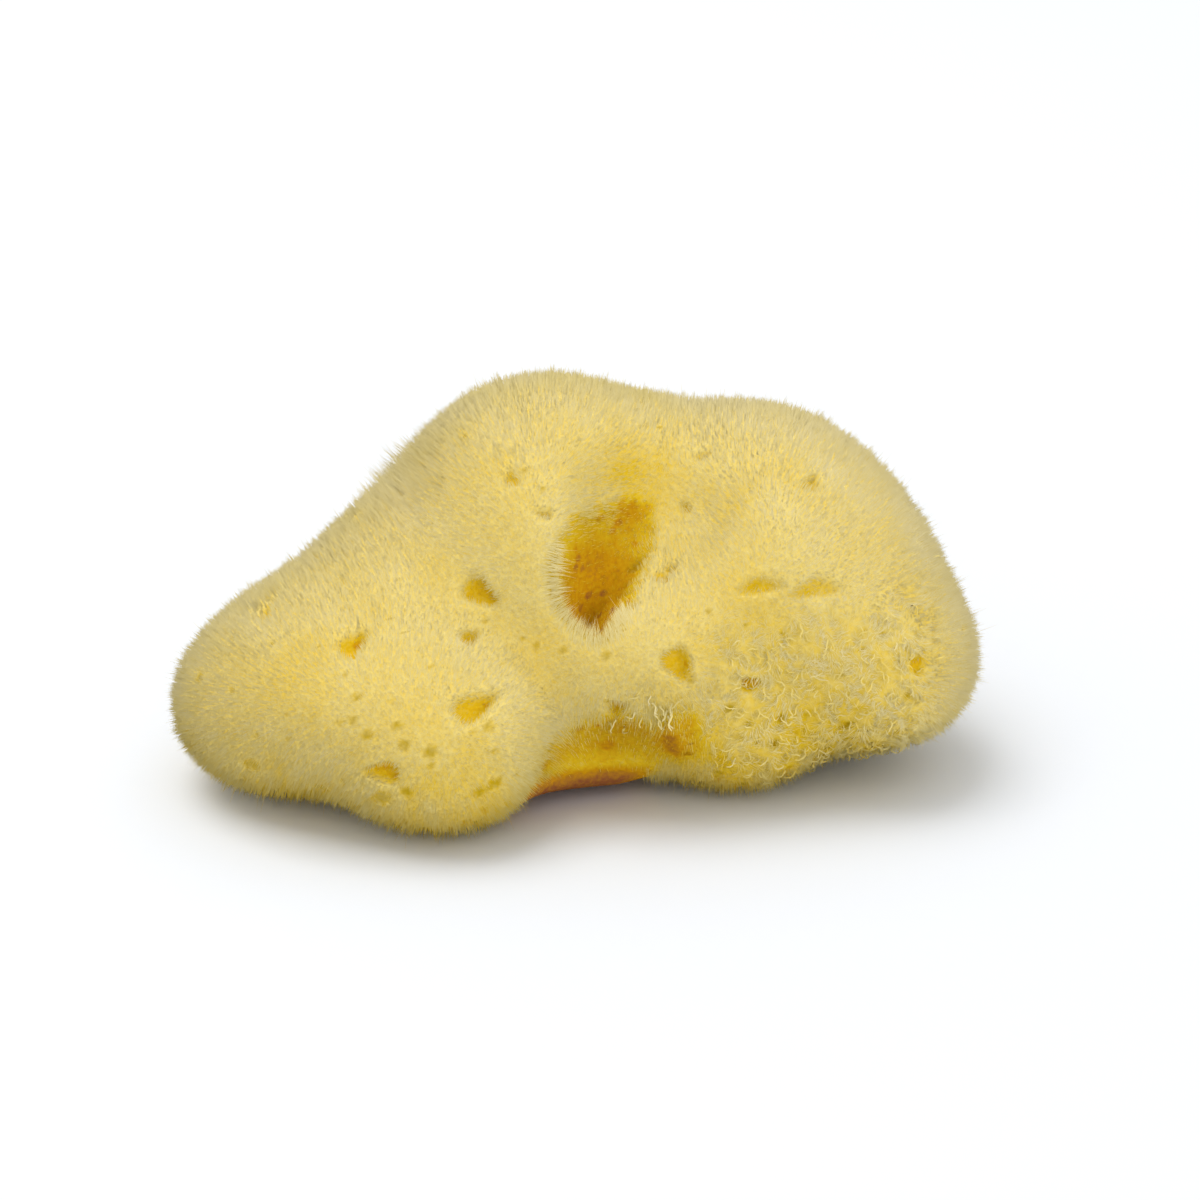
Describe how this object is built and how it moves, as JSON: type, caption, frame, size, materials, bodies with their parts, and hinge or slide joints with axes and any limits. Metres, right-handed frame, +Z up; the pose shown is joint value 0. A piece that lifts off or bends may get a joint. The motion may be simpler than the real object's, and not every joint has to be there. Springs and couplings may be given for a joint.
{
  "type": "sea sponge",
  "caption": "Dry natural sea sponge, a soft lobed lump covered in fine upright fibres, with a deep crater in its crown and canal mouths all over; it soaks up and gives back water.",
  "frame": {"origin": "on the floor under the middle of the sponge's box, at the level of its feet", "axes": "+X along the sponge's length, +Z up, -Y towards the side with the crater and the notch"},
  "size_m": [0.1006, 0.0608, 0.0462],
  "materials": {
    "sponge_fibre": "dry, matt, soft upright fibres"
  },
  "bodies": {
    "root": {"sponge": "sponge_fibre"}
  },
  "joints": []
}
